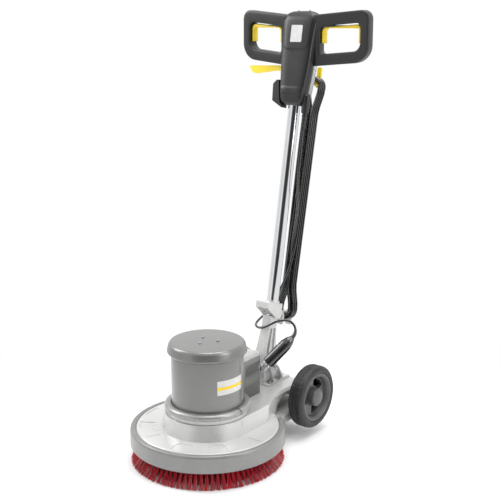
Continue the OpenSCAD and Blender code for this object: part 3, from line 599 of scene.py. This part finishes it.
for side, s in (("left", -1), ("right", 1)):
    grip = tube_surface("grip_loop_" + side,
                        bar_between(outline(66, 190, 1101, 1178, 16, 22, 12, 14),
                                    outline(34, 217, 1068, 1212, 27, 44, 14, 14), 0.0, 17.0, s, 36,
                                    0.30), "handle", closed=True, flip=s < 0)
    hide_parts("grip_" + side)
    o = outline(67.3, 188.7, 1102, 1174.2, 14.5, 20, 11, 12.5)
    i = outline(77, 182, 1102, 1171, 12, 20, 11, 11)
    # the liner's lower edge is level, so it grows thicker outwards
    i[:, 1] = np.where(i[:, 1] > 1130, np.minimum(i[:, 1], LINER_LEVEL), i[:, 1])
    ring = bar_between(i, o, 3.0, 10.0, s, 20, 0.4)
    on = np.roll(np.arange(len(o)), len(o) // 2)
    on = on[o[on, 1] >= LINER_END]
    lever = tube_surface("switch_liner_" + side, ring[on], "switch_" + side,
                         flip=s < 0)
    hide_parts("switch_lever_" + side)


# ---------------------------------------------------------------- capacitor box
def loft_box(name, half, levels, centre, body, node):
    """A box with rounded upright corners: each level (z, inset, corner radius) is a rounded
    rectangle, and the skin runs through the levels, closed top and bottom."""
    rows = []
    for z, inset, r in levels:
        hx, hy = half[0] - inset, half[1] - inset
        r = max(r - inset, 0.5)
        c = np.vstack([corner(sx * (hx - r), sy * (hy - r), r, a, a + 90, 10)
                       for sx, sy, a in ((1, 1, 0), (-1, 1, 90), (-1, -1, 180), (1, -1, 270))])
        rows.append(np.stack([c[:, 0] + centre[0], c[:, 1] + centre[1], np.full(len(c), z)], -1))
    obj = tube_surface(name, from_machine(np.array(rows)), body, flip=True)
    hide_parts(node)
    return obj


BOX_HALF, BOX_AT = (44, 51), (0, 146)
box_skin = loft_box("capacitor_housing", BOX_HALF, [(138.2, 0, 20), (236, 0, 20), (249.6, 0, 20)],
                    BOX_AT, "base", "capacitor_box")
lid_skin = loft_box("housing_lid", BOX_HALF, [(250.2, 0, 20), (254, 0, 20), (257, 0.9, 20),
                                              (259.4, 3, 20), (260.6, 7, 20), (261, 14, 20)],
                    BOX_AT, "base", "box_lid")


# ---------------------------------------------------------------- materials
def linear(code):
    """An sRGB hex colour as linear values: divided by 12.92 when dark, otherwise ((c + 0.055) /
    1.055) to the power 2.4."""
    c = [int(code[k:k + 2], 16) / 255 for k in (1, 3, 5)]
    return tuple(x / 12.92 if x <= 0.04045 else ((x + 0.055) / 1.055) ** 2.4 for x in c) + (1.0,)


def add(tree, kind, values=None, links=None, **settings):
    """Adds a node, sets its own settings and its inputs' values, and links its inputs from other
    nodes' outputs."""
    node = tree.nodes.new(kind)
    for key, value in settings.items():
        setattr(node, key, value)
    for key, value in (values or {}).items():
        node.inputs[key].default_value = value
    for key, source in (links or {}).items():
        tree.links.new(source, node.inputs[key])
    return node


def material(name, build):
    """A new node material: build gets its tree and returns the shader's output."""
    mat = bpy.data.materials.new(name)
    mat.use_nodes = True
    tree = mat.node_tree
    tree.nodes.clear()
    out = add(tree, "ShaderNodeOutputMaterial")
    tree.links.new(build(tree), out.inputs["Surface"])
    return mat


def ramp(tree, fac, stops):
    """A colour ramp through (position, linear colour) stops."""
    node = add(tree, "ShaderNodeValToRGB", links={"Fac": fac})
    while len(node.color_ramp.elements) < len(stops):
        node.color_ramp.elements.new(0.5)
    for e, (pos, col) in zip(node.color_ramp.elements, stops):
        e.position, e.color = pos, col
    return node.outputs["Color"]


def finish(name, dark, light, rough, metallic=0.0, ior=1.5, grain_mm=1.0, bump_mm=0.02,
           cloud_mm=60.0, coat=0.0, coat_rough=0.1, spread=0.06):
    """Most finishes: two close colours mixed by slow clouds, a fine grain that lifts the surface,
    and clouds that vary the gloss a little."""
    def build(tree):
        """The finish's nodes; returns the shader."""
        co = add(tree, "ShaderNodeTexCoord").outputs["Object"]
        cloud = add(tree, "ShaderNodeTexNoise", {"Scale": 1 / (cloud_mm * MM), "Detail": 4.0,
                                                 "Roughness": 0.6}, {"Vector": co})
        grain = add(tree, "ShaderNodeTexNoise", {"Scale": 1 / (grain_mm * MM), "Detail": 2.0},
                    {"Vector": co})
        colour = ramp(tree, cloud.outputs["Fac"], [(0.3, linear(dark)), (0.7, linear(light))])
        limits = {"From Min": 0.3, "From Max": 0.7, "To Min": max(rough - spread, 0.02),
                  "To Max": rough + spread}
        gloss = add(tree, "ShaderNodeMapRange", limits, {"Value": cloud.outputs["Fac"]})
        bump = add(tree, "ShaderNodeBump", {"Strength": 0.6, "Distance": bump_mm * MM},
                   {"Height": grain.outputs["Fac"]})
        bsdf = add(tree, "ShaderNodeBsdfPrincipled",
                   {"Metallic": metallic, "IOR": ior, "Coat Weight": coat,
                    "Coat Roughness": coat_rough},
                   {"Base Color": colour, "Roughness": gloss.outputs["Result"],
                    "Normal": bump.outputs["Normal"]})
        return bsdf.outputs["BSDF"]
    return material(name, build)


def banded_label(tree):
    """Laminated foil: white, with one yellow band across it and no print."""
    co = add(tree, "ShaderNodeTexCoord").outputs["Object"]
    z = add(tree, "ShaderNodeSeparateXYZ", links={"Vector": co}).outputs["Z"]
    lift = add(tree, "ShaderNodeMapRange", {"From Min": 0.215, "From Max": 0.255}, {"Value": z})
    cloud = add(tree, "ShaderNodeTexNoise", {"Scale": 25.0, "Detail": 3.0}, {"Vector": co})
    band = ramp(tree, lift.outputs["Result"], [(0.0, linear("#D4D4D1")), (0.34, linear("#D4D4D1")),
                                               (0.36, linear("#EFC718")), (0.55, linear("#EFC718")),
                                               (0.57, linear("#D4D4D1"))])
    gloss = add(tree, "ShaderNodeMapRange", {"To Min": 0.22, "To Max": 0.32},
                {"Value": cloud.outputs["Fac"]})
    return add(tree, "ShaderNodeBsdfPrincipled", {"IOR": 1.5},
               {"Base Color": band, "Roughness": gloss.outputs["Result"]}).outputs["BSDF"]


# Silver lacquer on an aluminium casting: pale, partly metallic, with a faint pebble.
cast = finish("silver_lacquered_casting", "#CACAC9", "#D2D2D1", rough=0.32, metallic=0.4, ior=1.45,
              grain_mm=1.6, bump_mm=0.008, cloud_mm=80, coat=0.2, coat_rough=0.25)
# Semi-gloss coat on the motor's steel: even mid grey, half metallic, with a slight peel.
coat_grey = finish("grey_powder_coat", "#7C7C7B", "#828281", rough=0.3, metallic=0.55, ior=1.5,
                   grain_mm=3.0, bump_mm=0.003, cloud_mm=90, coat=0.15, coat_rough=0.25,
                   spread=0.03)
band_grey = finish("grey_lacquered_band", "#999998", "#A1A1A0", rough=0.32, metallic=0.5, ior=1.5,
                   grain_mm=1.2, bump_mm=0.006, cloud_mm=70, coat=0.2, coat_rough=0.25)
lid_grey = finish("grey_moulded_lid", "#ABABAA", "#B3B3B2", rough=0.26, metallic=0.2, ior=1.5,
                  grain_mm=0.9, bump_mm=0.015, cloud_mm=70)
# Polyurethane bumper: silvery satin grey, a little cloudy.
bumper_mat = finish("grey_polyurethane", "#828281", "#8A8A89", rough=0.36, metallic=0.35, ior=1.49,
                    grain_mm=0.8, bump_mm=0.008, cloud_mm=45)
# Nylon filaments: bright crimson, softly glossy.
nylon = finish("crimson_nylon", "#9C0019", "#C40524", rough=0.38, ior=1.53, grain_mm=0.8,
               bump_mm=0.01, cloud_mm=14, spread=0.1)
# Spark-eroded ABS: near-black with a fine satin grain. The rear shell is silver-grey satin.
abs_dark = finish("textured_black_abs", "#161616", "#1B1B1B", rough=0.36, ior=1.53, grain_mm=0.55,
                  bump_mm=0.012, cloud_mm=60)
abs_rear = finish("satin_grey_abs", "#A2A2A4", "#ACACAE", rough=0.24, metallic=0.6, ior=1.53,
                  grain_mm=0.7, bump_mm=0.004, cloud_mm=60)
# Semi-gloss yellow ABS.
yellow = finish("signal_yellow_abs", "#F7D824", "#FCE032", rough=0.32, ior=1.53, grain_mm=0.8,
                bump_mm=0.01, cloud_mm=50)
# Natural rubber: nearly black and dull, with slow paler clouds.
rubber = finish("tyre_rubber", "#161616", "#242424", rough=0.48, ior=1.52, grain_mm=0.9,
                bump_mm=0.02, cloud_mm=30, spread=0.1)
hub_mat = finish("grey_nylon_hub", "#4C4C4D", "#585859", rough=0.42, ior=1.53, grain_mm=0.7,
                 bump_mm=0.015, cloud_mm=50)
cap_mat = finish("grey_nylon_cap", "#454546", "#505051", rough=0.36, ior=1.53, grain_mm=0.7,
                 bump_mm=0.015, cloud_mm=50)
# PVC sheath of the lead: black with a smooth, shining skin.
sheath = finish("black_pvc_sheath", "#080808", "#0E0E0E", rough=0.2, ior=1.54, grain_mm=0.8,
                bump_mm=0.003, cloud_mm=20, coat=0.7, coat_rough=0.1)
plug_mat = finish("black_plug_rubber", "#1A1A1A", "#242424", rough=0.2, ior=1.52, grain_mm=0.8,
                  bump_mm=0.008, cloud_mm=25, coat=0.9, coat_rough=0.12)
# Polished chromium plate over steel tube.
chrome = finish("chromium_plate", "#D9DBDE", "#E2E3E5", rough=0.06, metallic=1.0, ior=1.5,
                grain_mm=2.0, bump_mm=0.002, cloud_mm=120, spread=0.02)
steel = finish("zinc_plated_steel", "#A9ABAD", "#BEC0C2", rough=0.3, metallic=1.0, ior=1.5,
               grain_mm=0.6, bump_mm=0.01, cloud_mm=12)
ground_steel = finish("ground_steel", "#8F9193", "#A6A8AA", rough=0.26, metallic=1.0, ior=1.5,
                      grain_mm=0.5, bump_mm=0.01, cloud_mm=20)
block_plastic = finish("black_moulded_block", "#1C1C1D", "#262627", rough=0.45, ior=1.53,
                       grain_mm=0.9, bump_mm=0.02, cloud_mm=40)
drive_plastic = finish("grey_glass_filled_nylon", "#3C3C3D", "#484849", rough=0.5, ior=1.53,
                       grain_mm=0.6, bump_mm=0.02, cloud_mm=40)
iron = finish("varnished_laminations", "#4A4B4E", "#5A5B5E", rough=0.4, metallic=0.8, ior=1.5,
              grain_mm=0.5, bump_mm=0.02, cloud_mm=30)
copper = finish("enamelled_copper_wire", "#8A4A22", "#A85C2C", rough=0.28, metallic=0.9, ior=1.5,
                grain_mm=0.8, bump_mm=0.2, cloud_mm=20)
can_black = finish("black_phenolic_can", "#141414", "#1E1E1E", rough=0.35, ior=1.6, grain_mm=0.8,
                   bump_mm=0.01, cloud_mm=30)
label = material("plain_banded_foil", banded_label)
plate = finish("plain_white_badge", "#CFCFCF", "#D8D8D8", rough=0.25, ior=1.5, grain_mm=0.8,
               bump_mm=0.002, cloud_mm=40)

BY_SLOT = {"bristle": nylon, "brush_block": block_plastic, "drive_plastic": drive_plastic,
           "gear_steel": ground_steel, "bearing_steel": ground_steel, "fastener_steel": steel,
           "cast_aluminium": cast, "bumper_rubber": bumper_mat, "motor_grey": coat_grey,
           "lid_grey": lid_grey, "lamination": iron, "copper": copper, "capacitor_black": can_black,
           "label": plate, "wheel_grey": hub_mat, "wheel_cap": cap_mat, "tyre": rubber,
           "chrome": chrome, "head_plastic": abs_dark, "head_rear_plastic": abs_rear,
           "switch_black": block_plastic, "signal_yellow": yellow, "lead_sheath": sheath,
           "plug_rubber": plug_mat, "plug_pin": chrome}
slot_of = {s["node"]: s["material_slot"] for s in frame["record"]["subparts"]}


def paint(obj, mat):
    """Gives the whole object one material."""
    obj.data.materials.clear()
    obj.data.materials.append(mat)


for name, obj in NODES.items():
    paint(obj, BY_SLOT[slot_of[name]])
paint(NODES["rating_label"], label)
for obj, mat in ((mains_lead, sheath), (plug_body, plug_mat), (brush_tufts, nylon),
                 (bumper_ring, bumper_mat), (motor_cap, coat_grey), (band, band_grey),
                 (box_skin, coat_grey), (lid_skin, lid_grey), (plug_relief, plug_mat),
                 (gland, abs_dark)):
    paint(obj, mat)
# the hubs' closed backs take the near-black block plastic as painted shade behind the spoke
# openings
for obj in list(bpy.context.scene.objects):
    for key, mat in (("tyre_tread", rubber), ("hub_web", block_plastic), ("grip_loop", abs_dark),
                     ("switch_liner", yellow), ("head_cover", abs_dark), ("head_back", abs_rear)):
        if obj.name.startswith(key):
            paint(obj, mat)

# edges that a hand would feel are rounded
for name, width in {"deck": 2.2, "handle_leg": 1.8, "deck_bracket": 1.0, "end_shields": 1.2,
                    "socket_box": 2.5, "tilt_lever": 2.6, "upper_hook": 1.6, "lower_hook": 1.4,
                    "badge_plate": 0.4, "wheel_hub_left": 1.0, "wheel_hub_right": 1.0,
                    "hub_cap_left": 1.0, "hub_cap_right": 1.0, "base_screws": 0.5,
                    "hinge_pins": 0.7, "plug_pins": 0.6, "brush_plate": 1.0, "tube": 0.5,
                    "lockout_button": 1.0, "axle": 0.6}.items():
    soften(NODES[name], width)

# ---------------------------------------------------------------- studio
floor_mesh = bpy.data.meshes.new("studio_floor")
FLOOR_HALF, FLOOR_Z = 12, -0.0005
floor_mesh.from_pydata([(x * FLOOR_HALF, y * FLOOR_HALF, FLOOR_Z)
                        for x, y in ((-1, -1), (1, -1), (1, 1), (-1, 1))], [], [(0, 1, 2, 3)])
floor = bpy.data.objects.new("studio_floor", floor_mesh)
bpy.context.scene.collection.objects.link(floor)


def grey(value):
    """A neutral linear colour."""
    return (value, value, value, 1.0)


# the paper fades into plain light between these distances from the middle, in metres
FADE_FROM, FADE_TO = 0.55, 1.1


def white_floor(tree):
    """Matt white paper that keeps the machine's soft shadow and turns into plain white light
    further out."""
    co = add(tree, "ShaderNodeTexCoord").outputs["Object"]
    cloud = add(tree, "ShaderNodeTexNoise", {"Scale": 2.5, "Detail": 2.0}, {"Vector": co})
    tone = ramp(tree, cloud.outputs["Fac"], [(0.3, linear("#F6F6F6")), (0.7, linear("#FBFBFB"))])
    paper = add(tree, "ShaderNodeBsdfPrincipled", {"Roughness": 0.8, "Specular IOR Level": 0.2},
                {"Base Color": tone})
    glow = add(tree, "ShaderNodeEmission", {"Color": grey(1.0), "Strength": 1.0})
    far = add(tree, "ShaderNodeVectorMath", links={0: co}, operation="LENGTH").outputs["Value"]
    fade = add(tree, "ShaderNodeMapRange", {"From Min": FADE_FROM, "From Max": FADE_TO},
               {"Value": far}, interpolation_type="SMOOTHSTEP")
    return add(tree, "ShaderNodeMixShader", links={"Fac": fade.outputs["Result"],
                                                   1: paper.outputs["BSDF"],
                                                   2: glow.outputs["Emission"]}).outputs["Shader"]


paint(floor, material("white_paper_floor", white_floor))

# level directions in the studio: across the view, and from the camera to the far side
ACROSS, AHEAD = (0.80, 0.60, 0.0), (-0.60, 0.80, 0.0)
world = bpy.data.worlds.new("studio")
bpy.context.scene.world = world
world.use_nodes = True
sky = world.node_tree
sky.nodes.clear()
# white cyclorama to the eye; for light and reflections, bright at both sides, above and beyond the
# machine, dark behind the camera
way = add(sky, "ShaderNodeTexCoord").outputs["Generated"]
across = add(sky, "ShaderNodeVectorMath", {1: ACROSS}, {0: way},
             operation="DOT_PRODUCT").outputs["Value"]
spread = add(sky, "ShaderNodeMath", links={0: across}, operation="ABSOLUTE").outputs["Value"]
sides = ramp(sky, spread, [(0.30, grey(0.06)), (0.50, grey(0.22)), (0.70, grey(1.3)),
                           (1.0, grey(1.0))])
height = add(sky, "ShaderNodeSeparateXYZ", links={"Vector": way}).outputs["Z"]
over = add(sky, "ShaderNodeMapRange", {"From Min": 0.45, "From Max": 0.8}, {"Value": height})
lit = add(sky, "ShaderNodeMixRGB", {"Color2": grey(1.35)},
          {"Fac": over.outputs["Result"], "Color1": sides})
ahead = add(sky, "ShaderNodeVectorMath", {1: AHEAD}, {0: way},
            operation="DOT_PRODUCT").outputs["Value"]
beyond = add(sky, "ShaderNodeMapRange", {"From Min": 0.15, "From Max": 0.6}, {"Value": ahead})
open_sky = add(sky, "ShaderNodeMixRGB", {"Color2": grey(1.25)},
               {"Fac": beyond.outputs["Result"], "Color1": lit.outputs["Color"]})
ambient = add(sky, "ShaderNodeBackground", {"Strength": 0.85}, {"Color": open_sky.outputs["Color"]})
white = add(sky, "ShaderNodeBackground", {"Color": grey(1.0), "Strength": 1.0})
seen = add(sky, "ShaderNodeLightPath").outputs["Is Camera Ray"]
both = add(sky, "ShaderNodeMixShader", links={"Fac": seen, 1: ambient.outputs["Background"],
                                              2: white.outputs["Background"]})
sky.links.new(both.outputs["Shader"], add(sky, "ShaderNodeOutputWorld").inputs["Surface"])


def soft_light(name, place, target, size, watts):
    """A square soft box aimed at a point."""
    data = bpy.data.lights.new(name, "AREA")
    data.shape = "RECTANGLE"
    data.size, data.size_y = size
    data.energy = watts
    obj = bpy.data.objects.new(name, data)
    bpy.context.scene.collection.objects.link(obj)
    aim(obj, place, target)


soft_light("key", place=(-2.4, -1.0, 2.4), target=(0, 0, 0.4), size=(1.2, 1.8), watts=44)
soft_light("fill", place=(2.6, 0.2, 1.8), target=(0, 0, 0.5), size=(1.0, 2.0), watts=22)
soft_light("top", place=(0.2, 0.4, 3.2), target=(0, 0, 0.4), size=(2.0, 2.0), watts=52)
bpy.context.scene.view_settings.view_transform = "Standard"
